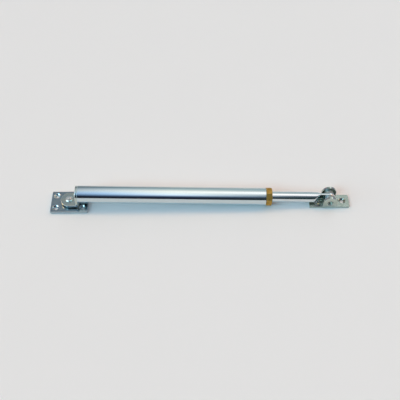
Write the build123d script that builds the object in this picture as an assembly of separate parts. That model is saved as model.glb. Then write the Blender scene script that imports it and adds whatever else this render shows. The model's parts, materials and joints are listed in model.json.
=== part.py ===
from build123d import *
from math import asin, cos, degrees, radians, sin, tan
import os

# Friction stay for a hinged door or casement, closed and lying flat on its two plates.
# Millimetres, +Z up. The origin is on the underside of the base plate, on the swivel axis.
# +X runs along the stay to the door bracket, so the tube slopes down a little on its way.

# Overall layout
flange_x = 8.3
flange_to_pin = 291.1
tube_axis_h = 16.6
pin_h = 8.7

# Base plate, screwed to the frame
plate_l = 42.8
plate_w = 30.0
plate_t = 3.0
plate_corner_r = 1.2
plate_edge_c = 0.3
plate_holes_x = 30.4
plate_holes_y = 17.0
plate_screw_d = 4.5
plate_sink_d = 7.4

# Swivel bracket, bent from a strip with two full round ends
strip_t = 2.5
strip_inset = 0.3
bend_r = 0.5
swivel_rivet_d = 6.0
swivel_head_d = 8.4
swivel_head_h = 1.5
swivel_head_c = 0.8
swivel_dimple_d = 4.4
swivel_dimple_depth = 0.7
swivel_tail_d = 8.6
swivel_tail_h = 1.3
swivel_washer_d = 15.0
swivel_washer_t = 1.8

# Outer tube and its closed end
tube_d = 20.0
tube_wall = 1.5
tube_l = 214.4
tube_rim_c = 0.3
plug_l = 11.0
spigot_d = 8.0
spigot_head_d = 11.0
spigot_head_h = 1.2
spigot_head_c = 0.6
closing_buffer_t = 4.6
closing_buffer_hole_d = 8.8

# Brake in the open end of the tube
nut_across_flats = 19.8
nut_head_l = 6.65
nut_gap = 0.3
nut_turned_by = -2.0
nut_shank_l = 10.0
nut_chamfer = 0.7
brake_wall = 2.3
ring_t = 1.6
bush_l = 12.0
bush_cone = 2.2
bush_slit_w = 0.8
seat_ring_t = 2.5

# Rod, a thinner tube flattened to an eye
rod_wall = 1.5
rod_inner_end = 30.5
rod_plug_l = 9.0
flattening_l = 9.9
eye_t = 3.0
eye_lead = 11.6

# Guide piston on the inner end of the rod
piston_l = 12.0
piston_rim_c = 0.8
piston_pin_d = 5.0
piston_pin_head_d = 8.0
piston_pin_head_h = 1.2

# Door bracket, a strip with two ears
door_l = 46.0
door_w = 17.4
door_t = 2.4
door_end_r = 0.8
door_holes_x = 30.4
door_screw_d = 4.5
door_sink_d = 8.0
ear_w = 16.6
ear_h = 17.2
ear_t = 2.4
ear_bend_r = 0.6
pin_d = 5.5
pin_sink_d = 7.8
pin_sink_depth = 1.2
pin_recess = 0.7

# Clearances: running fits on a radius, play between flat faces
run_fit = 0.05
slide_fit = 0.10
seat_gap = 0.50
face_play = 0.10
eye_floor_gap = 0.25

# Sizes that follow from the ones above
strip_w = tube_d - 2 * strip_inset
tube_bore = tube_d - 2 * tube_wall
tube_end = strip_t + tube_l
rod_d = tube_bore - 2 * brake_wall
rod_bore = rod_d - 2 * rod_wall
seat_bore_d = rod_d + 2 * seat_gap
droop = degrees(asin((tube_axis_h - pin_h) / flange_to_pin))
tongue_z = plate_t + swivel_washer_t
nut_face = tube_end + nut_gap
shank_end = nut_face - nut_shank_l
bush_end = shank_end - ring_t
seat_end = bush_end - bush_l
opening_stop = seat_end - seat_ring_t
piston_end = rod_inner_end - face_play
eye_h = 2 * (pin_h - door_t - eye_floor_gap)
eye_start = flange_to_pin - eye_lead
rod_round_end = eye_start - flattening_l
ears_inside = door_w - 2 * ear_t
spacer_t = (ears_inside - eye_t) / 2 - face_play
spacer_d = eye_h - 1.6
pin_x = flange_x + flange_to_pin * cos(radians(droop))

# Frame of the tube and rod: its X axis is the axis of the tube, from the flange outward
stay = Pos(flange_x, 0, tube_axis_h) * Rot(0, droop, 0)
pivot = Pos(pin_x, 0, pin_h)


def along_x(shape):
    """Turn a shape made about +Z so that it lies about +X."""
    return Rot(0, 90, 0) * shape


def barrel(start, end, outer_d, inner_d=0.0):
    """A ring or bar about the tube's axis, between two stations."""
    outline = Circle(outer_d / 2)
    if inner_d:
        outline -= Circle(inner_d / 2)
    return Pos(start, 0, 0) * along_x(extrude(outline, end - start))


def countersunk_hole(thickness, hole_d, sink_d):
    """Cutter for a screw hole whose cone opens on the top face."""
    cone_h = (sink_d - hole_d) / 2
    shank = Cylinder(hole_d / 2, 3 * thickness)
    cone = Pos(0, 0, thickness - cone_h) * Cone(
        hole_d / 2, sink_d / 2, cone_h, align=(Align.CENTER, Align.CENTER, Align.MIN)
    )
    mouth = Pos(0, 0, thickness) * Cylinder(
        sink_d / 2, thickness, align=(Align.CENTER, Align.CENTER, Align.MIN)
    )
    return shank + cone + mouth


# Base plate and swivel


def make_base_plate():
    plate = extrude(RectangleRounded(plate_l, plate_w, plate_corner_r), plate_t)
    plate = chamfer(plate.faces().sort_by(Axis.Z)[-1].outer_wire().edges(), plate_edge_c)
    hole = countersunk_hole(plate_t, plate_screw_d, plate_sink_d)
    for place in GridLocations(plate_holes_x, plate_holes_y, 2, 2):
        plate -= place * hole
    return plate - swivel_rivet_shank(0) - swivel_rivet_tail()


def swivel_rivet_shank(play):
    top = tongue_z + strip_t + face_play
    return Pos(0, 0, top / 2) * Cylinder(swivel_rivet_d / 2 + play, top)


def swivel_rivet_tail():
    return Cone(
        swivel_tail_d / 2,
        swivel_rivet_d / 2,
        swivel_tail_h,
        align=(Align.CENTER, Align.CENTER, Align.MIN),
    )


def make_swivel_rivet():
    """Rivet with a low head that has a set dimple, and a tail closed flush underneath."""
    head_z = tongue_z + strip_t + face_play
    head = Pos(0, 0, head_z) * Cylinder(
        swivel_head_d / 2, swivel_head_h, align=(Align.CENTER, Align.CENTER, Align.MIN)
    )
    head = chamfer(head.edges().sort_by(Axis.Z)[-1], swivel_head_c)
    dimple = Cone(swivel_dimple_d / 4, swivel_dimple_d / 2, swivel_dimple_depth)
    head -= Pos(0, 0, head_z + swivel_head_h - swivel_dimple_depth / 2) * dimple
    return swivel_rivet_shank(0) + swivel_rivet_tail() + head


def make_swivel_washer():
    washer = Circle(swivel_washer_d / 2) - Circle(swivel_rivet_d / 2 + slide_fit)
    return Pos(0, 0, plate_t) * extrude(washer, swivel_washer_t)


def make_swivel_bracket():
    """Strip bent up square to the tube: both ends keep their full round outline."""
    lean = radians(droop)
    middle_z = tongue_z + strip_t / 2
    leg_x = flange_x + strip_t / 2 * cos(lean)
    leg_z = tube_axis_h - strip_t / 2 * sin(lean)
    corner = (leg_x - (leg_z - middle_z) * tan(lean), middle_z)
    top = (leg_x + strip_w * sin(lean), leg_z + strip_w * cos(lean))
    line = FilletPolyline((-strip_w, middle_z), corner, top, radius=bend_r + strip_t / 2)
    band = extrude(Plane.XZ * trace(line, strip_t), strip_w / 2, both=True)
    round_end = Circle(strip_w / 2) + Pos(strip_w, 0) * Rectangle(2 * strip_w, strip_w)
    band &= extrude(round_end, 3 * strip_w, both=True)
    band &= stay * along_x(extrude(round_end, 2 * strip_w, both=True))
    band -= Pos(0, 0, tongue_z) * Cylinder(swivel_rivet_d / 2 + run_fit, 3 * strip_t)
    return band - stay * barrel(-strip_t, 2 * strip_t, spigot_d)


# Outer tube with its closed end


def make_end_plug():
    """Turned plug: its spigot goes through the flange and is riveted over outside."""
    body = barrel(strip_t, strip_t + plug_l, tube_bore)
    spigot = barrel(0, strip_t, spigot_d)
    head = barrel(-spigot_head_h, 0, spigot_head_d)
    head = chamfer(head.edges().sort_by(Axis.X)[0], spigot_head_c)
    return stay * (body + spigot + head)


def make_outer_tube():
    tube = barrel(strip_t, tube_end, tube_d, tube_bore)
    circles = tube.edges().filter_by(GeomType.CIRCLE)
    rims = [edge for edge in circles if edge.radius > tube_bore / 2 + 0.1]
    return stay * chamfer(rims, tube_rim_c)


def make_closing_buffer():
    start = strip_t + plug_l
    return stay * barrel(start, start + closing_buffer_t, tube_bore, closing_buffer_hole_d)


# Brake: gland nut, pressure ring, bush and the ring it is pressed against


def make_gland_nut():
    """Eight-sided brass nut; its threaded shank runs in the mouth of the tube."""
    head = RegularPolygon(nut_across_flats / 2, 8, major_radius=False)
    head = Rot(0, 0, 22.5 + nut_turned_by) * head
    head = Pos(nut_face, 0, 0) * along_x(extrude(head, nut_head_l))
    corner_r = nut_across_flats / 2 / cos(radians(22.5))
    turning = barrel(nut_face, nut_face + nut_head_l, 2 * corner_r)
    turning = chamfer(turning.edges().sort_by(Axis.X)[-1], nut_chamfer, nut_chamfer * 1.6)
    shank = barrel(shank_end, nut_face, tube_bore - 2 * run_fit)
    bore = barrel(shank_end - 1, nut_face + nut_head_l + 1, rod_d + 2 * slide_fit)
    return stay * ((head & turning) + shank - bore)


def make_pressure_ring():
    return stay * barrel(bush_end, shank_end, tube_bore - 2 * slide_fit, rod_d + 2 * slide_fit)


def make_friction_bush():
    """Split nylon bush with coned ends, squeezed on the rod by the gland nut."""
    bush = barrel(seat_end, bush_end, tube_bore)
    bush = chamfer([bush.edges().sort_by(Axis.X)[0], bush.edges().sort_by(Axis.X)[-1]], bush_cone)
    bush -= barrel(seat_end - 1, bush_end + 1, rod_d + 2 * run_fit)
    slit = Pos((seat_end + bush_end) / 2, 0, tube_bore / 4 + rod_d / 4)
    bush -= slit * Box(bush_l + 2, bush_slit_w, tube_bore / 2)
    return stay * bush


def make_seat_ring():
    """Ring that the bush is pressed against; the piston stops on its other side."""
    return stay * barrel(opening_stop, seat_end, tube_bore, seat_bore_d)


# Rod, its plug and the guide piston


def flats_outline():
    """The rod's end seen from above: two slanted flats that run into the eye."""
    slope = (rod_d - eye_t) / 2 / flattening_l
    wide = rod_d / 2 + slope * rod_d
    side = [
        (rod_inner_end - 1, wide),
        (rod_round_end - rod_d, wide),
        (eye_start, eye_t / 2),
        (flange_to_pin + eye_h, eye_t / 2),
    ]
    other_side = [(x, -y) for x, y in reversed(side)]
    return Polygon(*side, *other_side, align=None)


def eye_outline():
    """The rod's end seen from the side: rounded about the pin."""
    length = flange_to_pin - rod_inner_end + 1
    straight = Pos(flange_to_pin - length / 2, 0) * Rectangle(length, 2 * rod_d)
    return straight + Pos(flange_to_pin, 0) * Circle(eye_h / 2)


def make_rod():
    """Tube with a solid end, flattened between two slanted flats."""
    bar = barrel(rod_inner_end, rod_round_end, rod_d)
    bar -= barrel(rod_inner_end - 1, rod_round_end - 2 * rod_wall, rod_bore)
    taper = Cone(
        rod_d / 2, eye_h / 2, flattening_l, align=(Align.CENTER, Align.CENTER, Align.MIN)
    )
    bar += Pos(rod_round_end, 0, 0) * along_x(taper)
    bar += barrel(eye_start, flange_to_pin + eye_h, eye_h)
    bar &= extrude(flats_outline(), rod_d, both=True)
    bar &= extrude(Plane.XZ * eye_outline(), rod_d, both=True)
    pin_hole = Pos(flange_to_pin, 0, 0) * Rot(90, 0, 0) * Cylinder(pin_d / 2 + run_fit, 2 * eye_t)
    return stay * (bar - pin_hole)


def make_rod_plug():
    """Plug in the rod's inner end, with the pin that carries the guide piston."""
    plug = barrel(rod_inner_end, rod_inner_end + rod_plug_l, rod_bore)
    pin_start = piston_end - piston_l - face_play
    pin = barrel(pin_start, rod_inner_end, piston_pin_d)
    head = barrel(pin_start - piston_pin_head_h, pin_start, piston_pin_head_d)
    return stay * (plug + pin + head)


def make_piston():
    """Nylon guide that slides in the tube and lets the rod turn."""
    start = piston_end - piston_l
    piston = barrel(start, piston_end, tube_bore - 2 * slide_fit)
    piston = chamfer(piston.edges().sort_by(Axis.X)[-1], piston_rim_c)
    return stay * (piston - barrel(start - 1, piston_end + 1, piston_pin_d + 2 * run_fit))


# Door bracket and its pivot


def make_door_bracket():
    """Strip with two ears turned up at its edges and a countersunk hole at each end."""
    strip = extrude(RectangleRounded(door_l, door_w, door_end_r), door_t)
    shoulder_h = ear_h - ear_w / 2
    outline = Pos(0, shoulder_h) * Circle(ear_w / 2)
    outline += Pos(0, shoulder_h / 2) * Rectangle(ear_w, shoulder_h)
    ear = extrude(Plane.XZ * outline, ear_t)
    front = Pos(0, -door_w / 2 + ear_t, 0) * ear
    back = Pos(0, door_w / 2, 0) * ear
    bracket = strip + front + back
    bends = [
        edge
        for edge in bracket.edges()
        if edge.length > ear_w - 1
        and abs(edge.center().Z - door_t) < 0.01
        and abs(abs(edge.center().Y) - ears_inside / 2) < 0.01
    ]
    bracket = fillet(bends, ear_bend_r)
    hole = countersunk_hole(door_t, door_screw_d, door_sink_d)
    for place in GridLocations(door_holes_x, 1, 2, 1):
        bracket -= place * hole
    return Pos(pin_x, 0, 0) * (bracket - Pos(0, 0, pin_h) * pin_solid(door_w / 2))


def pin_solid(half_length):
    """Pin whose two ends are spread into the countersinks of the ears."""
    half = Cylinder(pin_d / 2, half_length, align=(Align.CENTER, Align.CENTER, Align.MIN))
    cone_start = door_w / 2 - pin_sink_depth
    slope = (pin_sink_d - pin_d) / 2 / pin_sink_depth
    cone_h = half_length - cone_start
    half += Pos(0, 0, cone_start) * Cone(
        pin_d / 2,
        pin_d / 2 + slope * cone_h,
        cone_h,
        align=(Align.CENTER, Align.CENTER, Align.MIN),
    )
    return Rot(90, 0, 0) * half + Rot(-90, 0, 0) * half


def make_pivot_pin():
    return pivot * pin_solid(door_w / 2 - pin_recess)


def make_pivot_spacers():
    """Two loose rings that keep the eye in the middle between the ears."""
    ring = extrude(Circle(spacer_d / 2) - Circle(pin_d / 2 + run_fit), spacer_t)
    front = Pos(0, -ears_inside / 2, 0) * Rot(-90, 0, 0) * ring
    back = Pos(0, ears_inside / 2, 0) * Rot(90, 0, 0) * ring
    return pivot * Compound([front, back])


parts = {
    "base_plate": make_base_plate(),
    "swivel_rivet": make_swivel_rivet(),
    "swivel_washer": make_swivel_washer(),
    "swivel_bracket": make_swivel_bracket(),
    "end_plug": make_end_plug(),
    "outer_tube": make_outer_tube(),
    "closing_buffer": make_closing_buffer(),
    "seat_ring": make_seat_ring(),
    "friction_bush": make_friction_bush(),
    "pressure_ring": make_pressure_ring(),
    "gland_nut": make_gland_nut(),
    "piston": make_piston(),
    "rod_plug": make_rod_plug(),
    "rod": make_rod(),
    "door_bracket": make_door_bracket(),
    "pivot_pin": make_pivot_pin(),
    "pivot_spacers": make_pivot_spacers(),
}

os.makedirs("parts", exist_ok=True)
for name, shape in parts.items():
    export_step(shape, f"parts/{name}.step")

print("droop of the tube in degrees:", round(droop, 3))
print("pin at x, z:", round(pin_x, 3), pin_h)
print("travel of the rod, to 0.3 mm before the stop:", round(opening_stop - piston_end - 0.3, 3))
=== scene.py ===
# %% [markdown]
# # A friction stay for a door
# The part is a telescopic stay: a zinc-plated tube with a thinner rod sliding in it, a small
# base plate at one end and a door bracket at the other. Its solids were made in a CAD program
# and are packed as one model, whose parts already stand in the right place. This script
# dresses them: it gives each part a finish, and builds a finer mesh where the plain solid is
# too coarse. The first step loads that model. The dressed part may not grow out of it.

# %% Load the imported part
import json
from math import cos, pi, radians, sin

import bmesh
import bpy
from mathutils import Matrix, Vector


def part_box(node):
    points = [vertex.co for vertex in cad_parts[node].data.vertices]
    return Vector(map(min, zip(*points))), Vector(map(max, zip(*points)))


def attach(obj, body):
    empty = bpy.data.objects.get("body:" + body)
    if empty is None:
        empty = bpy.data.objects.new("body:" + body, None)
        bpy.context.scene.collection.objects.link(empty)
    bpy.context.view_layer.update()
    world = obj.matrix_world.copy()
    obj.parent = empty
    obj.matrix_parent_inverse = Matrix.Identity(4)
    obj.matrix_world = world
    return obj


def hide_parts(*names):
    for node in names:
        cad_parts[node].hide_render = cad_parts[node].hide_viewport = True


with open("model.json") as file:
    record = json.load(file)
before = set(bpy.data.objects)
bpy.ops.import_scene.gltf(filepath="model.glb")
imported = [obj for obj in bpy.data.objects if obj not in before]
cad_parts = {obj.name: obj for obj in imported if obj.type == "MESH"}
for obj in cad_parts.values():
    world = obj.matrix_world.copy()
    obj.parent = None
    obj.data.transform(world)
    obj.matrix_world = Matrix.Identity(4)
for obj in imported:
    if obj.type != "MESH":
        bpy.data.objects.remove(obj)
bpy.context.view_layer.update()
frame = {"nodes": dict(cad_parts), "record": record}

MM = 0.001

# %% [markdown]
# ## Sums on nodes
# A finish is a network of nodes, and most of the network is arithmetic. Written node by node
# it would be long and hard to read. It could be drawn by hand in the editor, but then nobody
# could follow it in a script. So one small class wraps the output of a node, and gives it the
# signs of arithmetic: `1 - mask * 0.5` then adds the two Math nodes by itself. Each sign has a
# reflected form, for a plain number on its left. One function adds any other node: its
# settings come first, then the values or links of its sockets. The same class serves in
# Geometry Nodes, because both kinds of tree share the Math node.


# %% A class for sums on nodes
class Wire:
    """One output of a node, used in sums like a number."""

    def __init__(self, tree, socket):
        self.tree = tree
        self.socket = socket

    def out(self, name):
        """Another output of the same node."""
        return Wire(self.tree, self.socket.node.outputs[name])

    def math(self, operation, *values):
        """A Math node that takes this output first."""
        return math_node(self.tree, operation, self, *values)

    def __add__(self, other):
        return self.math("ADD", other)

    def __sub__(self, other):
        return self.math("SUBTRACT", other)

    def __rsub__(self, other):
        return math_node(self.tree, "SUBTRACT", other, self)

    def __mul__(self, other):
        return self.math("MULTIPLY", other)

    def __truediv__(self, other):
        return self.math("DIVIDE", other)

    def __rtruediv__(self, other):
        return math_node(self.tree, "DIVIDE", other, self)

    def __pow__(self, other):
        return self.math("POWER", other)

    def __rpow__(self, other):
        return math_node(self.tree, "POWER", other, self)

    def __neg__(self):
        return self * -1.0

    __radd__ = __add__
    __rmul__ = __mul__


def fill_ramp(ramp, stops):
    """Sets the stops of a colour ramp from (place, colour or grey) pairs."""
    while len(ramp.elements) > 1:
        ramp.elements.remove(ramp.elements[-1])
    for i, (place, colour) in enumerate(stops):
        stop = ramp.elements[0] if i == 0 else ramp.elements.new(place)
        stop.position = place
        stop.color = rgba(colour)


def rgba(colour):
    """A colour with its fourth number, from three numbers or from one grey."""
    if isinstance(colour, (int, float)):
        colour = (colour, colour, colour)
    return (*colour, 1.0)


def add(tree, kind, settings=None, inputs=None, output=0):
    """Adds a node, with its settings first and then the values or links of its sockets."""
    node = tree.nodes.new(kind)
    for name, value in (settings or {}).items():
        if name == "stops":
            fill_ramp(node.color_ramp, value)
        else:
            setattr(node, name, value)
    for name, value in (inputs or {}).items():
        if isinstance(value, Wire):
            tree.links.new(value.socket, node.inputs[name])
        else:
            node.inputs[name].default_value = value
    return Wire(tree, node.outputs[output]) if node.outputs else None


def math_node(tree, operation, *values):
    return add(tree, "ShaderNodeMath", {"operation": operation}, dict(enumerate(values)))


print("sums on nodes are ready")

# %% [markdown]
# The finishes below ask for the same few nodes again and again: a noise, a ramp, a mix of two
# colours, a smooth step, a bump. A short function for each keeps them to one line, so a
# finish reads as a list of what it is made of. A Mix node has a socket of each name for each
# kind of data, so those for colours go by their numbers.

# %% Short names for the nodes used most
MIX_FIRST = 6
MIX_SECOND = 7
MIX_RESULT = 2


def noise(tree, place, scale, detail=2.0, roughness=0.5):
    inputs = {"Vector": place, "Scale": scale, "Detail": detail, "Roughness": roughness}
    return add(tree, "ShaderNodeTexNoise", {}, inputs)


def ramp(tree, value, stops):
    return add(tree, "ShaderNodeValToRGB", {"stops": stops}, {"Fac": value})


def blend(tree, factor, first, second, mode="MIX"):
    """Mix of two colours: the first where the factor is 0, the second where it is 1."""
    first = first if isinstance(first, Wire) else rgba(first)
    second = second if isinstance(second, Wire) else rgba(second)
    settings = {"data_type": "RGBA", "blend_type": mode}
    inputs = {"Factor": factor, MIX_FIRST: first, MIX_SECOND: second}
    return add(tree, "ShaderNodeMix", settings, inputs, MIX_RESULT)


def rise(tree, value, low, high, kind="LINEAR"):
    """0 below low, 1 above high, and a straight rise between them."""
    inputs = {"Value": value, "From Min": low, "From Max": high}
    return add(tree, "ShaderNodeMapRange", {"interpolation_type": kind}, inputs)


def step(tree, value, low, high):
    """The same with a smooth rise."""
    return rise(tree, value, low, high, "SMOOTHSTEP")


def stretched(tree, place, scale, turn=(0.0, 0.0, 0.0)):
    inputs = {"Vector": place, "Scale": scale, "Rotation": turn}
    return add(tree, "ShaderNodeMapping", {}, inputs)


def axes(tree, place):
    """The three coordinates of a place, each as a number."""
    split = add(tree, "ShaderNodeSeparateXYZ", {}, {"Vector": place})
    return split, split.out("Y"), split.out("Z")


def bumps(tree, height, strength, depth):
    """Bent shading for small relief that isn't worth any faces."""
    inputs = {"Strength": strength, "Distance": depth, "Height": height}
    return add(tree, "ShaderNodeBump", {}, inputs)


print("short names are ready")

# %% [markdown]
# ## The room
# Polished metal has no look of its own: it shows the room. On the real tube the room can be
# read off, from the top edge down: a grey far wall, a broad white light overhead that turns
# bluish towards the camera, a dark band, and the pale table. Lamps and dark cards could be
# built to give those bands. Here the world's own colour gives them, because the bands then
# stay soft and cost no extra objects.
#
# The angle of a direction about the stay's length picks the colour. It runs from 0, level
# towards the camera, over 90 straight up, to 180 at the far wall. The light changes along the
# length too, so there are three such ramps, for the base plate's end, the middle and the door
# bracket's end, and one more for the pressed eye, which mirrors the far wall. Two ramps are
# for what lies far out to the left and the right. The bright patch in the left one gives the
# countersinks their white glints. Last comes a warm strip of light far out on both sides. The
# stay hardly mirrors it, but it lights the table, and where the stay takes it away the shadow
# is bluish.

# %% Colours of the room
NEAR_PLATE = (
    (0, (0.06, 0.08, 0.10)), (13, (0.01, 0.01, 0.02)), (30, (0.04, 0.06, 0.10)),
    (45, (0.26, 0.39, 0.62)), (61, (0.52, 0.75, 1.10)), (80, (0.72, 0.92, 1.14)),
    (97, (0.86, 0.94, 1.00)), (115, (0.79, 0.83, 0.87)), (134, (0.53, 0.58, 0.64)),
    (156, (0.30, 0.38, 0.41)), (180, (0.20, 0.24, 0.26)),
)
MIDDLE = (
    (0, (0.04, 0.06, 0.08)), (13, (0.01, 0.01, 0.02)), (28, (0.02, 0.03, 0.06)),
    (38, (0.13, 0.18, 0.28)), (49, (0.72, 0.84, 1.06)), (61, (1.24, 1.38, 1.44)),
    (85, (1.32, 1.30, 1.22)), (103, (1.38, 1.31, 1.18)), (121, (0.98, 0.98, 0.90)),
    (138, (0.58, 0.67, 0.67)), (158, (0.40, 0.49, 0.50)), (180, (0.46, 0.49, 0.47)),
)
NEAR_DOOR = (
    (0, (0.05, 0.07, 0.07)), (25, (0.03, 0.05, 0.05)), (50, (0.06, 0.08, 0.10)),
    (63, (0.14, 0.18, 0.22)), (76, (0.72, 0.72, 0.76)), (90, (1.54, 1.46, 1.44)),
    (105, (1.60, 1.50, 1.46)), (118, (0.74, 0.77, 0.80)), (130, (0.50, 0.56, 0.58)),
    (158, (0.46, 0.56, 0.58)), (180, (0.54, 0.62, 0.62)),
)
AT_EYE = (
    (0, (0.04, 0.06, 0.06)), (60, (0.08, 0.10, 0.11)), (110, (0.20, 0.24, 0.25)),
    (128, (2.00, 2.10, 2.08)), (160, (2.00, 2.10, 2.08)), (170, (0.50, 0.58, 0.60)),
    (180, (0.54, 0.62, 0.62)),
)
FAR_LEFT = (
    (0, (0.20, 0.24, 0.34)), (30, (0.16, 0.20, 0.28)), (38, (3.60, 6.20, 7.20)),
    (54, (3.60, 6.20, 7.20)), (62, (0.30, 0.34, 0.46)), (100, (0.36, 0.34, 0.42)),
    (180, (0.36, 0.36, 0.50)),
)
FAR_RIGHT = (
    (0, (0.10, 0.12, 0.16)), (60, (0.12, 0.14, 0.20)), (90, (0.36, 0.34, 0.42)),
    (180, (0.36, 0.36, 0.50)),
)
BLACK = (0.0, 0.0, 0.0)
WARM_STRIP = ((95, BLACK), (111, (5.70, 3.40, 1.50)), (127, BLACK))
print("stops of the middle ramp:", len(MIDDLE))

# %% [markdown]
# The ramps still have to be joined. A hard switch from one to the next would show as a seam
# in the metal, so they are laid over each other in a chain of mixes. Each mix looks at how
# far a direction points along the stay, and gives way to the next ramp over a short range.

# %% The world from its ramps
DIM_BEYOND_PLATE = 0.5
ALONG_STAY = (
    (-0.17, -0.08, NEAR_PLATE), (-0.08, 0.02, MIDDLE), (0.02, 0.20, NEAR_DOOR),
    (0.268, 0.282, AT_EYE),
)
FAR_OUT = (0.36, 0.50)
WARM_FROM = (0.42, 0.56)

world = bpy.data.worlds.new("room")
bpy.context.scene.world = world
world.use_nodes = True
sky = world.node_tree
sky.nodes.clear()
direction = add(sky, "ShaderNodeTexCoord", output="Generated")
east, north, height = axes(sky, direction)
turn = height.math("ARCTAN2", -north) / pi


def by_angle(stops):
    """Ramp over the half turn from the camera's side to the far wall."""
    return ramp(sky, turn, [(angle / 180, colour) for angle, colour in stops])


room = blend(sky, DIM_BEYOND_PLATE, by_angle(NEAR_PLATE), BLACK)
for low, high, stops in ALONG_STAY:
    room = blend(sky, rise(sky, east, low, high), room, by_angle(stops))
for side, stops in ((-east, FAR_LEFT), (east, FAR_RIGHT)):
    room = blend(sky, step(sky, side, *FAR_OUT), room, by_angle(stops))
warm = step(sky, east.math("ABSOLUTE"), *WARM_FROM)
room = blend(sky, warm, room, by_angle(WARM_STRIP), "ADD")
backdrop = add(sky, "ShaderNodeBackground", {}, {"Color": room, "Strength": 1.0})
add(sky, "ShaderNodeOutputWorld", {}, {"Surface": backdrop})
bpy.context.scene.view_settings.view_transform = "Standard"
print("room nodes:", len(sky.nodes))

# %% [markdown]
# ## Table and camera
# The stay lies on a plain white table. A thick board could be modelled, but only its top ever
# shows. So it is one large face just under the part, with a faint unevenness in its paint.

# %% Table under the part
TABLE_SIZE = 6.0
TABLE_GAP = 0.02 * MM
TABLE_COLOUR = (0.90, 0.90, 0.90)
UNEVEN = 0.985


def new_material(name):
    """An empty material: its node tree and the shader that the finish fills in."""
    material = bpy.data.materials.new(name)
    material.use_nodes = True
    tree = material.node_tree
    tree.nodes.clear()
    shader = tree.nodes.new("ShaderNodeBsdfPrincipled")
    output = tree.nodes.new("ShaderNodeOutputMaterial")
    tree.links.new(shader.outputs[0], output.inputs["Surface"])
    return material, tree, shader


def give(tree, shader, **sockets):
    """Links or sets the shader's sockets, named with _ for a space."""
    for name, value in sockets.items():
        socket = shader.inputs[name.replace("_", " ")]
        if isinstance(value, Wire):
            tree.links.new(value.socket, socket)
        else:
            socket.default_value = value


def new_object(name, mesh):
    made = bpy.data.objects.new(name, mesh)
    bpy.context.scene.collection.objects.link(made)
    return made


def make_table():
    half = TABLE_SIZE / 2
    corners = ((-half, -half), (half, -half), (half, half), (-half, half))
    mesh = bpy.data.meshes.new("table")
    mesh.from_pydata([(x, y, -TABLE_GAP) for x, y in corners], [], [(0, 1, 2, 3)])
    material, tree, shader = new_material("white_table")
    place = add(tree, "ShaderNodeTexCoord", output="Object")
    dim = tuple(UNEVEN * c for c in TABLE_COLOUR)
    colour = blend(tree, noise(tree, place, 9.0, 3.0), dim, TABLE_COLOUR)
    give(tree, shader, Base_Color=colour, Roughness=0.6, Specular_IOR_Level=0.2)
    mesh.materials.append(material)
    table = new_object("table", mesh)


make_table()
print("table side in m:", TABLE_SIZE)

# %% [markdown]
# The camera looks down at 52 degrees from the long side. Its place could be found by trying.
# It was worked out from the photograph instead: the corners of the plates and the edges of
# the tube fix it to a fraction of a pixel, and each size of the stay could then be measured
# in the photograph. That gives a lens of 62 mm at 0.8 m, turned aside and tilted by about a
# degree.

# %% Camera
FOCUS_PX = 694.3
PHOTO_PX = 400
SENSOR_WIDTH = 36.0
LOOK_DOWN = radians(51.66)
LOOK_ASIDE = radians(1.19)
TILT = radians(0.66)
DISTANCE = 797.0 * MM
LOOK_AT = Vector((149.96, -2.47, 8.0)) * MM
UP = Vector((0.0, 0.0, 1.0))


def make_camera():
    data = bpy.data.cameras.new("camera")
    data.sensor_width = SENSOR_WIDTH
    data.lens = SENSOR_WIDTH * FOCUS_PX / PHOTO_PX
    data.clip_start = 50 * MM
    ahead = Vector((
        sin(LOOK_ASIDE) * cos(LOOK_DOWN),
        cos(LOOK_ASIDE) * cos(LOOK_DOWN),
        -sin(LOOK_DOWN),
    ))
    level = ahead.cross(UP).normalized()
    upright = level.cross(ahead)
    right = level * cos(TILT) + upright * sin(TILT)
    up = upright * cos(TILT) - level * sin(TILT)
    camera = new_object("camera", data)
    turned = Matrix((right, up, -ahead)).transposed().to_4x4()
    camera.matrix_world = Matrix.Translation(LOOK_AT - ahead * DISTANCE) @ turned
    bpy.context.scene.camera = camera
    return camera


camera = make_camera()
print("camera lens in mm:", round(camera.data.lens, 1))

# %% [markdown]
# ## Finishes
# Tube and rod are drawn steel, zinc-plated and bright: the plating is slightly blue, the
# drawing leaves fine lines along the length, and handling adds a few short scratches. Each of
# these is its own noise. The drawn lines are a noise squeezed along X, so that they run with
# the tube. The noise changes mostly the roughness, because that is how such marks show on
# metal: they blur the reflection a little and hardly change the colour. All scales of noise
# are counts per metre.

# %% Bright zinc on drawn tube
DRAWN_LINES = (12.0, 2600.0, 2600.0)
SCRATCHES = (40.0, 1900.0, 1900.0)
SCRATCH_SLANT = (0.0, 0.06, 0.25)


def bright_zinc(name, tint, haze=0.0):
    material, tree, shader = new_material(name)
    place = add(tree, "ShaderNodeTexCoord", output="Object")
    lines = noise(tree, stretched(tree, place, DRAWN_LINES), 1.0, 3.0)
    cloud = noise(tree, place, 55.0, 3.0)
    mark_place = stretched(tree, place, SCRATCHES, SCRATCH_SLANT)
    marks = step(tree, noise(tree, mark_place, 1.0, 1.0), 0.70, 0.78)
    roughness = 0.065 + haze + lines * 0.04 + cloud * 0.04 + marks * 0.12
    dull = tuple(0.90 * c for c in tint)
    colour = blend(tree, cloud * 0.6 + lines * 0.4, dull, tint)
    relief = bumps(tree, lines * 0.5 + cloud * 2.0 - marks * 0.6, 0.10, 0.03 * MM)
    give(tree, shader, Base_Color=colour, Roughness=roughness, Normal=relief, Metallic=1.0)
    return material


tube_zinc = bright_zinc("tube_bright_zinc", (0.68, 0.77, 0.80))
rod_zinc = bright_zinc("rod_bright_zinc", (0.74, 0.80, 0.82), haze=-0.02)
print("finishes:", tube_zinc.name, rod_zinc.name)

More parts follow.
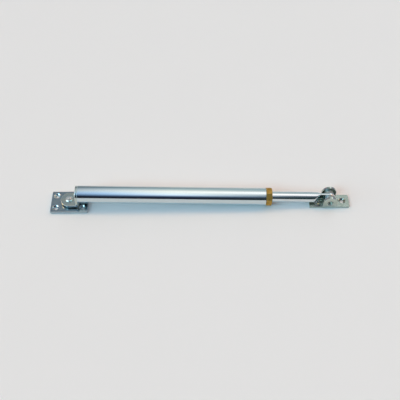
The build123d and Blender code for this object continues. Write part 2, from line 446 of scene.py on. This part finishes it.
# %% [markdown]
# The brackets are punched from sheet, bent and then zinc-plated. Their plating is not
# polished: a fine grain blurs the room, and the passivation leaves cloudy patches that are
# bluer or yellower. Handling has rubbed the edges, which are lighter and duller than the
# flats. The mesh helper further down marks the rounded edges with an attribute called `wear`,
# and this finish reads it, so the light line follows each edge wherever it runs.

# %% Plated sheet steel
BRUSHING = (250.0, 5200.0, 900.0)
WORN_EDGE = (0.80, 0.84, 0.84)


def sheet_zinc(name, tint, patch, dullness):
    material, tree, shader = new_material(name)
    place = add(tree, "ShaderNodeTexCoord", output="Object")
    cloud = noise(tree, place, 160.0, 4.0, 0.6)
    grain = noise(tree, place, 3800.0, 2.0, 0.6)
    brushed = noise(tree, stretched(tree, place, BRUSHING), 1.0, 2.0)
    wear = add(tree, "ShaderNodeAttribute", {"attribute_name": "wear"}, output="Fac")
    rubbed = step(tree, wear * (0.55 + cloud * 0.7), 0.45, 0.85)
    patches = step(tree, cloud, 0.42, 0.62)
    colour = blend(tree, patches, tint, patch)
    colour = blend(tree, rubbed * 0.7, colour, WORN_EDGE)
    roughness = dullness + cloud * 0.06 + grain * 0.05 + wear * 0.22
    relief = bumps(tree, grain + brushed * 0.6, 0.12, 0.02 * MM)
    give(tree, shader, Base_Color=colour, Roughness=roughness, Normal=relief, Metallic=1.0)
    return material


plate_zinc = sheet_zinc("base_plate_zinc", (0.38, 0.48, 0.54), (0.45, 0.55, 0.58), 0.07)
bracket_zinc = sheet_zinc("swivel_bracket_zinc", (0.54, 0.64, 0.62), (0.62, 0.66, 0.58), 0.10)
door_zinc = sheet_zinc("door_bracket_zinc", (0.44, 0.50, 0.44), (0.49, 0.55, 0.50), 0.14)
rivet_zinc = sheet_zinc("rivet_zinc", (0.66, 0.70, 0.70), (0.60, 0.64, 0.62), 0.18)
washer_zinc = sheet_zinc("washer_zinc", (0.62, 0.69, 0.72), (0.56, 0.63, 0.66), 0.36)
# The spacers are darker than the washer: partly their own dull zinc, and partly painted shade for
# the dark gaps between the eye and the ears.
spacer_zinc_painted_shade = sheet_zinc("spacer_zinc_painted_shade", (0.34, 0.40, 0.43), (0.30, 0.36, 0.38), 0.50)
pin_zinc = sheet_zinc("pin_zinc", (0.42, 0.46, 0.42), (0.36, 0.40, 0.36), 0.20)
plug_steel = sheet_zinc("plug_plated_steel", (0.56, 0.60, 0.60), (0.50, 0.55, 0.56), 0.22)
plain_steel = sheet_zinc("plain_steel", (0.50, 0.51, 0.52), (0.44, 0.45, 0.46), 0.28)
print("plated finishes, from", plate_zinc.name, "to", plain_steel.name)

# %% [markdown]
# The gland nut is turned brass that has gone a little dull. Tarnish sits in patches and the
# edges stay bright, because fingers and spanner rub them. The turning tool leaves fine rings.
# They could be a noise squeezed like the drawn lines, but a tool is regular: so they are a
# sine of the distance along the tube's axis, which is nearly the X axis here. Nylon and
# rubber come from a mould, and need no more than an uneven tone and a fine grain.

# %% Brass, nylon and rubber
TURNED_RING = 0.35 * MM


def aged_brass():
    material, tree, shader = new_material("aged_brass")
    place = add(tree, "ShaderNodeTexCoord", output="Object")
    cloud = noise(tree, place, 260.0, 4.0, 0.6)
    along = axes(tree, place)[0]
    rings = (along * (2 * pi / TURNED_RING)).math("SINE")
    wear = add(tree, "ShaderNodeAttribute", {"attribute_name": "wear"}, output="Fac")
    rubbed = step(tree, wear * (0.6 + cloud * 0.6), 0.45, 0.85)
    tarnish = step(tree, cloud, 0.35, 0.70)
    colour = blend(tree, tarnish, (0.52, 0.32, 0.08), (0.36, 0.22, 0.05))
    colour = blend(tree, rubbed * 0.8, colour, (0.90, 0.66, 0.28))
    roughness = 0.44 + tarnish * 0.14 + rings * 0.02
    relief = bumps(tree, rings * 0.3 + cloud, 0.18, 0.04 * MM)
    give(tree, shader, Base_Color=colour, Roughness=roughness, Normal=relief, Metallic=1.0)
    return material


def moulded(name, tint, dark, roughness, grain_size):
    """A plain moulded material, such as nylon or rubber: slightly uneven and finely grained."""
    material, tree, shader = new_material(name)
    place = add(tree, "ShaderNodeTexCoord", output="Object")
    cloud = noise(tree, place, 180.0, 3.0)
    relief = bumps(tree, noise(tree, place, 1.0 / grain_size, 2.0), 0.25, 0.03 * MM)
    give(tree, shader, Base_Color=blend(tree, cloud, dark, tint), Normal=relief)
    give(tree, shader, Roughness=roughness + cloud * 0.12)
    return material


brass = aged_brass()
nylon = moulded("natural_nylon", (0.84, 0.82, 0.75), (0.76, 0.74, 0.66), 0.38, 0.6 * MM)
rubber = moulded("black_rubber", (0.045, 0.045, 0.048), (0.02, 0.02, 0.022), 0.62, 0.4 * MM)
print("finishes:", brass.name, nylon.name, rubber.name)

# %% [markdown]
# ## Finer meshes from the solids
# A solid comes as loose triangles with knife-sharp edges. Real pressed and turned parts have
# small rounded edges, and those catch the light as thin bright lines. A Bevel modifier could
# round them, but it can't tell the finish where the edges are. So a copy of the solid is
# worked on in mesh code: its doubled points are merged, its flat stretches become single
# faces, and the sharp edges are rounded. The new narrow faces get the attribute `wear`.

# %% A copy of a solid with rounded edges
MERGE_WITHIN = 0.002 * MM
FLAT_WITHIN = radians(0.3)
SHARP_ANGLE = radians(34)


def merged_copy(node):
    """The mesh of a solid with its doubled points merged and its flat stretches joined."""
    work = bmesh.new()
    work.from_mesh(frame["nodes"][node].data)
    bmesh.ops.remove_doubles(work, verts=work.verts, dist=MERGE_WITHIN)
    bmesh.ops.dissolve_limit(
        work, angle_limit=FLAT_WITHIN, verts=work.verts, edges=work.edges
    )
    return work


def round_edges(work, radius):
    """Rounds the sharp edges and marks the new faces as worn."""
    wear = work.faces.layers.float.get("wear") or work.faces.layers.float.new("wear")
    sharp = [edge for edge in work.edges if edge.calc_face_angle(0.0) > SHARP_ANGLE]
    made = bmesh.ops.bevel(
        work, geom=sharp, offset=radius, segments=2, profile=0.5, affect="EDGES",
        clamp_overlap=True,
    )
    for face in made["faces"]:
        face[wear] = 1.0


print("copies with rounded edges are ready")

# %% [markdown]
# A rounded edge has a price. Smooth shading spreads a change of direction over the whole
# neighbouring face, so each flat would look faintly bent beside its rim. More faces along
# the rim would cure that. The Weighted Normal modifier does it without any: it lets the large
# faces decide. Each piece is then painted and tied to the body that it moves with.

# %% From worked mesh to finished piece
SHADE_ANGLE = radians(24)
MOST_WEIGHT = 100
bodies = frame["record"]["behaviour"]["bodies"]


def body_of(node):
    return next(body for body, nodes in bodies.items() if node in nodes)


def evaluated_mesh(thing):
    """The mesh that an object has once its modifiers have done their work."""
    ready = thing.evaluated_get(bpy.context.evaluated_depsgraph_get())
    return bpy.data.meshes.new_from_object(ready)


def shade(piece):
    """Smooth but for the steep edges, and with the large faces setting the direction."""
    piece.data.shade_smooth()
    piece.data.set_sharp_from_angle(angle=SHADE_ANGLE)
    rule = piece.modifiers.new("weigh", "WEIGHTED_NORMAL")
    rule.weight = MOST_WEIGHT
    rule.keep_sharp = True
    weighed = evaluated_mesh(piece)
    piece.modifiers.remove(rule)
    piece.data = weighed


def take_place(piece, node):
    """Puts a piece in the place of its solid: on the same body, and hides the solid."""
    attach(piece, body_of(node))
    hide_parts(node)


def finish_piece(work, name, material, node):
    """Turns worked mesh into a piece in the place of a solid."""
    mesh = bpy.data.meshes.new(name)
    work.to_mesh(mesh)
    work.free()
    mesh.materials.append(material)
    piece = new_object(name, mesh)
    shade(piece)
    take_place(piece, node)
    print(name, "faces:", len(piece.data.polygons))


def dressed(node, name, material, radius):
    work = merged_copy(node)
    round_edges(work, radius)
    finish_piece(work, name, material, node)


print("bodies:", *bodies)

# %% [markdown]
# ## One tree for every ring
# The tube, the swivel washer and the rings inside the tube are all the same form in different
# sizes: a rectangle with rounded corners, carried around a circle. Each could be turned in
# mesh code, with loops over angles. Geometry Nodes do it with one small tree instead, whose
# inputs are named like the sizes on a drawing. The tree works about Z, where a circle is easy
# to think about, and tips the ring onto the stay's axis near its end. The last two nodes are
# always Realize Instances and Set Material, because the export would drop instances.


# %% Start and end of a tree
def tree_with_inputs(name, inputs):
    """An empty geometry tree, with a named input for each size."""
    tree = bpy.data.node_groups.new(name, "GeometryNodeTree")
    for label, (kind, value) in inputs.items():
        socket = tree.interface.new_socket(label, in_out="INPUT", socket_type=kind)
        if value is not None:
            socket.default_value = value
    tree.interface.new_socket("Mesh", in_out="OUTPUT", socket_type="NodeSocketGeometry")
    group = add(tree, "NodeGroupInput")
    return tree, {label: group.out(label) for label in inputs}


def place_and_paint(tree, form, sizes):
    """The end of a tree: shift the form, tip it onto its axis, realize it and paint it."""
    inputs = {"Geometry": form, "Translation": sizes["Shift"]}
    shifted = add(tree, "GeometryNodeTransform", {}, inputs)
    inputs = {"Geometry": shifted, "Translation": sizes["Place"], "Rotation": sizes["Turn"]}
    placed = add(tree, "GeometryNodeTransform", {}, inputs)
    real = add(tree, "GeometryNodeRealizeInstances", {}, {"Geometry": placed})
    inputs = {"Geometry": real, "Material": sizes["Finish"]}
    painted = add(tree, "GeometryNodeSetMaterial", {}, inputs)
    output = tree.nodes.new("NodeGroupOutput")
    tree.links.new(painted.socket, output.inputs["Mesh"])


print("start and end of a tree are ready")

# %% [markdown]
# Between start and end comes the form itself. The rounded corners are marked with `wear`, like
# the edges of the solids. The fillet doesn't tell which faces it made, so the tree looks for
# them by place: a face is one of them if it lies within the rounding of a side and of an end.

# %% Tree of a ring
RING_SEGMENTS = 96
NO_MOVE = (0.0, 0.0, 0.0)
RING_INPUTS = {
    "Bore": ("NodeSocketFloat", 10 * MM),
    "Outside": ("NodeSocketFloat", 20 * MM),
    "Length": ("NodeSocketFloat", 2 * MM),
    "Rounding": ("NodeSocketFloat", 0.2 * MM),
    "Segments": ("NodeSocketInt", RING_SEGMENTS),
    "Shift": ("NodeSocketVector", NO_MOVE),
    "Place": ("NodeSocketVector", NO_MOVE),
    "Turn": ("NodeSocketVector", NO_MOVE),
    "Finish": ("NodeSocketMaterial", None),
}
CORNER_STEPS = 3
JUST_OVER = 1.02


def make_ring_tree():
    tree, sizes = tree_with_inputs("ring", RING_INPUTS)
    wall = (sizes["Outside"] - sizes["Bore"]) / 2
    middle = (sizes["Outside"] + sizes["Bore"]) / 4
    corner = sizes["Rounding"] * JUST_OVER
    outline = add(tree, "GeometryNodeCurvePrimitiveQuadrilateral", {},
                  {"Width": wall, "Height": sizes["Length"]})
    outline = add(tree, "GeometryNodeFilletCurve", {"mode": "POLY"},
                  {"Curve": outline, "Radius": sizes["Rounding"], "Count": CORNER_STEPS})
    circle = add(tree, "GeometryNodeCurvePrimitiveCircle", {},
                 {"Resolution": sizes["Segments"], "Radius": middle})
    circle = add(tree, "GeometryNodeSetCurveNormal", {"mode": "Z_UP"}, {"Curve": circle})
    swept = add(tree, "GeometryNodeCurveToMesh", {}, {"Curve": circle, "Profile Curve": outline})
    x, y, z = axes(tree, add(tree, "GeometryNodeInputPosition"))
    across = ((x * x + y * y) ** 0.5 - middle).math("ABSOLUTE")
    near_side = across.math("GREATER_THAN", wall / 2 - corner)
    near_end = z.math("ABSOLUTE").math("GREATER_THAN", sizes["Length"] / 2 - corner)
    marked = add(tree, "GeometryNodeStoreNamedAttribute", {"data_type": "FLOAT", "domain": "FACE"},
                 {"Geometry": swept, "Name": "wear", "Value": near_side * near_end})
    place_and_paint(tree, marked, sizes)
    return tree


ring_tree = make_ring_tree()
print("ring tree nodes:", len(ring_tree.nodes))

# %% [markdown]
# Every ring now takes one line. Its sizes could be typed in again from the drawing. Instead
# its solid is measured along the axis, so the ring always fills the place of the solid that
# it stands for. The tree runs as a modifier, and its result is kept as a plain mesh.


# %% Helpers for a ring
def fill_inputs(rule, values):
    """Sets a modifier's inputs, which it knows by the identifiers of their sockets."""
    for socket in rule.node_group.interface.items_tree:
        if socket.in_out == "INPUT" and socket.name in values:
            rule[socket.identifier] = values[socket.name]


def grown(name, tree, values):
    """A piece grown by a tree, turned into a plain mesh."""
    piece = new_object(name, bpy.data.meshes.new(name))
    rule = piece.modifiers.new(tree.name, "NODES")
    rule.node_group = tree
    fill_inputs(rule, values)
    mesh = evaluated_mesh(piece)
    piece.modifiers.remove(rule)
    piece.data = mesh
    shade(piece)
    return piece


def measured(node, origin, axis):
    """Start, length, bore and outside of a ring's solid about an axis."""
    spots = [v.co - origin for v in frame["nodes"][node].data.vertices]
    stations = [spot.dot(axis) for spot in spots]
    radii = [(spot - axis * station).length for spot, station in zip(spots, stations)]
    return min(stations), max(stations) - min(stations), 2 * min(radii), 2 * max(radii)


def ring(node, name, material, rounding, origin, axis, segments=RING_SEGMENTS):
    start, length, bore, outside = measured(node, origin, axis)
    turn = UP.rotation_difference(axis).to_euler()
    piece = grown(name, ring_tree, {
        "Bore": bore, "Outside": outside, "Length": length, "Rounding": rounding,
        "Segments": segments, "Shift": (0.0, 0.0, start + length / 2),
        "Place": tuple(origin), "Turn": tuple(turn), "Finish": material,
    })
    take_place(piece, node)
    sizes = [round(size / MM, 2) for size in (length, bore, outside)]
    print(name, "length, bore, outside in mm:", *sizes)


print("ring helpers are ready")

# %% [markdown]
# The washer lies flat on the base plate. All the other rings stand on the stay's own axis,
# which slopes down by a degree and a half. That axis could be measured on the tube's solid,
# but the joints of the rod already say its direction and one of its points. The tube is by
# far the largest ring, so it has the most segments.

# %% Rings of the stay
TUBE_SEGMENTS = 160
joints = {joint["name"]: joint for joint in frame["record"]["behaviour"]["joints"]}
STAY_AXIS = Vector(joints["rod_slide"]["axis"])
ON_AXIS = Vector(joints["rod_turn"]["pos_m"])

ring("outer_tube", "outer_tube_polished", tube_zinc, 0.25 * MM, ON_AXIS, STAY_AXIS, TUBE_SEGMENTS)
ring("swivel_washer", "swivel_washer_ring", washer_zinc, 0.15 * MM, Vector(), UP)
ring("seat_ring", "seat_ring_turned", plain_steel, 0.15 * MM, ON_AXIS, STAY_AXIS)
ring("pressure_ring", "pressure_ring_turned", plain_steel, 0.15 * MM, ON_AXIS, STAY_AXIS)
ring("closing_buffer", "closing_buffer_moulded", rubber, 0.4 * MM, ON_AXIS, STAY_AXIS)

# %% [markdown]
# ## The other pieces
# The base plate is punched from sheet, the brackets are punched and bent, the nut is turned
# and cut to eight sides, and rivet and plug are headed. None of them has such a simple rule.
# They could be built again in mesh code, but their solids already have every hole and bend in
# its place. So they keep the form of their solid, with the edges rounded, bent sheet the most.
# The spacers are two rings in one, which the tree can't give, so they are made this way too.

# %% Pieces made from their solids
dressed("base_plate", "base_plate_punched", plate_zinc, 0.18 * MM)
dressed("swivel_bracket", "swivel_bracket_bent", bracket_zinc, 0.25 * MM)
dressed("door_bracket", "door_bracket_bent", door_zinc, 0.22 * MM)
dressed("gland_nut", "gland_nut_turned", brass, 0.18 * MM)
dressed("swivel_rivet", "swivel_rivet_set", rivet_zinc, 0.15 * MM)
dressed("pivot_spacers", "pivot_spacer_rings", spacer_zinc_painted_shade, 0.15 * MM)
dressed("end_plug", "end_plug_riveted", plug_steel, 0.15 * MM)

# %% [markdown]
# ## The rod, section by section
# The rod starts as a round tube and is pressed flat at its outer end. Pressed metal has no
# crease there: the round section goes over into the flat one little by little, and the bands
# of light bend with it. Two surfaces that meet at an edge can't show that. So the rod is
# built from many sections. Each is the smaller of two widths, the round one and the flat
# one, with a soft passage from the first to the second.
#
# The eye also needs its hole. It could be left out of each section, but a hole across all of
# them would make the loops hard to follow. So the hole is cut last, with a Boolean that is
# carried out at once.

# %% Round holes
HOLE_SEGMENTS = 64


def drilled(name, work, holes):
    """Cuts round holes along Y, given as middle, diameter and length."""
    piece = new_object(name, bpy.data.meshes.new(name))
    work.to_mesh(piece.data)
    work.free()
    drill = bmesh.new()
    for middle, diameter, length in holes:
        turned = Matrix.Translation(middle) @ Matrix.Rotation(pi / 2, 4, "X")
        bmesh.ops.create_cone(
            drill, cap_ends=True, segments=HOLE_SEGMENTS, matrix=turned,
            radius1=diameter / 2, radius2=diameter / 2, depth=length,
        )
    tool = new_object("drill", bpy.data.meshes.new("drill"))
    drill.to_mesh(tool.data)
    drill.free()
    cut = piece.modifiers.new("holes", "BOOLEAN")
    cut.operation = "DIFFERENCE"
    cut.object = tool
    result = bmesh.new()
    result.from_mesh(evaluated_mesh(piece))
    bpy.data.objects.remove(piece)
    bpy.data.objects.remove(tool)
    return result


print("round holes have", HOLE_SEGMENTS, "sides")

# %% [markdown]
# The sections are placed by their distance before the pivot. `softly_smaller` is the rule of
# the whole form: for a low sharpness it rounds the passage between tube and flat generously,
# and for a high one it would give back the crease.

# %% Sections of the rod
AROUND = 128
SHARPNESS = 14
LEAST_SIDE = 0.01
SIDE = Vector((0.0, 1.0, 0.0))
RISE = STAY_AXIS.cross(SIDE)
PIVOT = Vector(joints["door_pivot"]["pos_m"])


def softly_smaller(first, second):
    return (first ** -SHARPNESS + second ** -SHARPNESS) ** (-1 / SHARPNESS)


def section(work, station, radius, half_width=None):
    """Points of a circle, or of a circle pressed flat, at a distance before the pivot."""
    middle = PIVOT - STAY_AXIS * station
    points = []
    for k in range(AROUND):
        side, lift = cos(2 * pi * k / AROUND), sin(2 * pi * k / AROUND)
        reach = radius
        if half_width:
            reach = softly_smaller(radius, half_width / max(abs(side), LEAST_SIDE))
        points.append(work.verts.new(middle + (SIDE * side + RISE * lift) * reach))
    return points


def skin(work, sections):
    """Joins the sections by faces, and closes the first and the last."""
    for near, far in zip(sections, sections[1:]):
        for k in range(AROUND):
            ahead = (k + 1) % AROUND
            work.faces.new((near[k], near[ahead], far[ahead], far[k]))
    work.faces.new(sections[0][::-1])
    work.faces.new(sections[-1])


print("points in a section:", AROUND)

# %% [markdown]
# The rod's sizes are measured on its solid, like those of the rings. Bore and outside are
# taken well before the flattening, where the rod is surely round.

# %% Sizes of the rod
SURELY_ROUND = 37 * MM


def rod_sizes():
    """Inner end, radii of bore, outside and eye, and half the eye's thickness."""
    spots = [v.co - PIVOT for v in frame["nodes"]["rod"].data.vertices]
    stations = [-spot.dot(STAY_AXIS) for spot in spots]
    placed = list(zip(spots, stations))
    radii = [(spot + STAY_AXIS * at).length for spot, at in placed if at > SURELY_ROUND]
    half_eye = max(abs(spot.y) for spot, at in placed if at < 0)
    return max(stations), min(radii), max(radii), -min(stations), half_eye


measures = rod_sizes()
print("end, bore, outside, eye, half thickness in mm:", *(round(m / MM, 2) for m in measures))

# %% [markdown]
# From the bore's closed end the sections run along the bore, around the rim, back on the
# outside, over the flattening and around the eye. The last one stops just short of the tip,
# because a section of no size would leave its faces without any area.

# %% The pressed rod
FLATTENING_START = 22.6 * MM
FLATTENING_END = 9.8 * MM
SOLID_START = 24.5 * MM
PIN_HOLE = 5.6 * MM
RIM = 0.2 * MM
FLATS_OUT_OF_REACH = 1.35
STEPS = 36
NEARLY_A_QUARTER = 0.495 * pi


def smooth(share):
    """A soft rise from 0 to 1."""
    return share * share * (3 - 2 * share)


def flattening(work, outside, eye, half_eye):
    """Sections from the round tube to the eye's flat sides."""
    wide = FLATS_OUT_OF_REACH * outside
    for k in range(STEPS + 1):
        pressed = smooth(k / STEPS)
        station = FLATTENING_START + (FLATTENING_END - FLATTENING_START) * k / STEPS
        radius = outside + (eye - outside) * pressed
        yield section(work, station, radius, wide + (half_eye - wide) * pressed)


def pressed_rod(inner_end, bore, outside, eye, half_eye):
    work = bmesh.new()
    sections = [
        section(work, SOLID_START, bore),
        section(work, inner_end - RIM, bore),
        section(work, inner_end, bore + RIM),
        section(work, inner_end, outside - RIM),
        section(work, inner_end - RIM, outside),
        *flattening(work, outside, eye, half_eye),
    ]
    for k in range(STEPS + 1):
        turn = NEARLY_A_QUARTER * k / STEPS
        sections.append(section(work, -eye * sin(turn), eye * cos(turn), half_eye))
    skin(work, sections)
    work.faces.layers.float.new("wear")
    bmesh.ops.recalc_face_normals(work, faces=work.faces)
    work = drilled("rod", work, [(PIVOT, PIN_HOLE, 4 * half_eye)])
    finish_piece(work, "rod_pressed", rod_zinc, "rod")


pressed_rod(*measures)

# %% [markdown]
# The pivot pin is a hollow rivet: its two ends are shallow bores, whose rims were spread into
# the ears. From above, the upper half of such a bore looks dark and its lower wall light. A
# dark patch of paint would do for one view. The bores are cut instead, with the same drill
# as the eye, because they then look right from every side.

# %% Pin with spread ends
PIN_BORE = 5.0 * MM
PIN_BORE_DEPTH = 1.5 * MM


def spread_pin():
    work = merged_copy("pivot_pin")
    round_edges(work, 0.10 * MM)
    low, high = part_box("pivot_pin")
    ends = [Vector((PIVOT.x, y, PIVOT.z)) for y in (low.y, high.y)]
    work = drilled("pin", work, [(end, PIN_BORE, 2 * PIN_BORE_DEPTH) for end in ends])
    finish_piece(work, "pivot_pin_spread", pin_zinc, "pivot_pin")


spread_pin()

# %% [markdown]
# ## Parts inside the tube
# The brake bush, the piston and its plug are hidden in the tube and the rod. Their edges
# could be rounded like the others, but nobody sees them in the closed stay. Their solids are
# good enough as they are, so each only gets its finish. They matter when the stay is taken
# apart or cut open.

# %% Finishes of the inner parts
inner = {"friction_bush": nylon, "piston": nylon, "rod_plug": plug_steel}
for node, material in inner.items():
    frame["nodes"][node].data.materials.clear()
    frame["nodes"][node].data.materials.append(material)
print("inner parts:", len(inner))
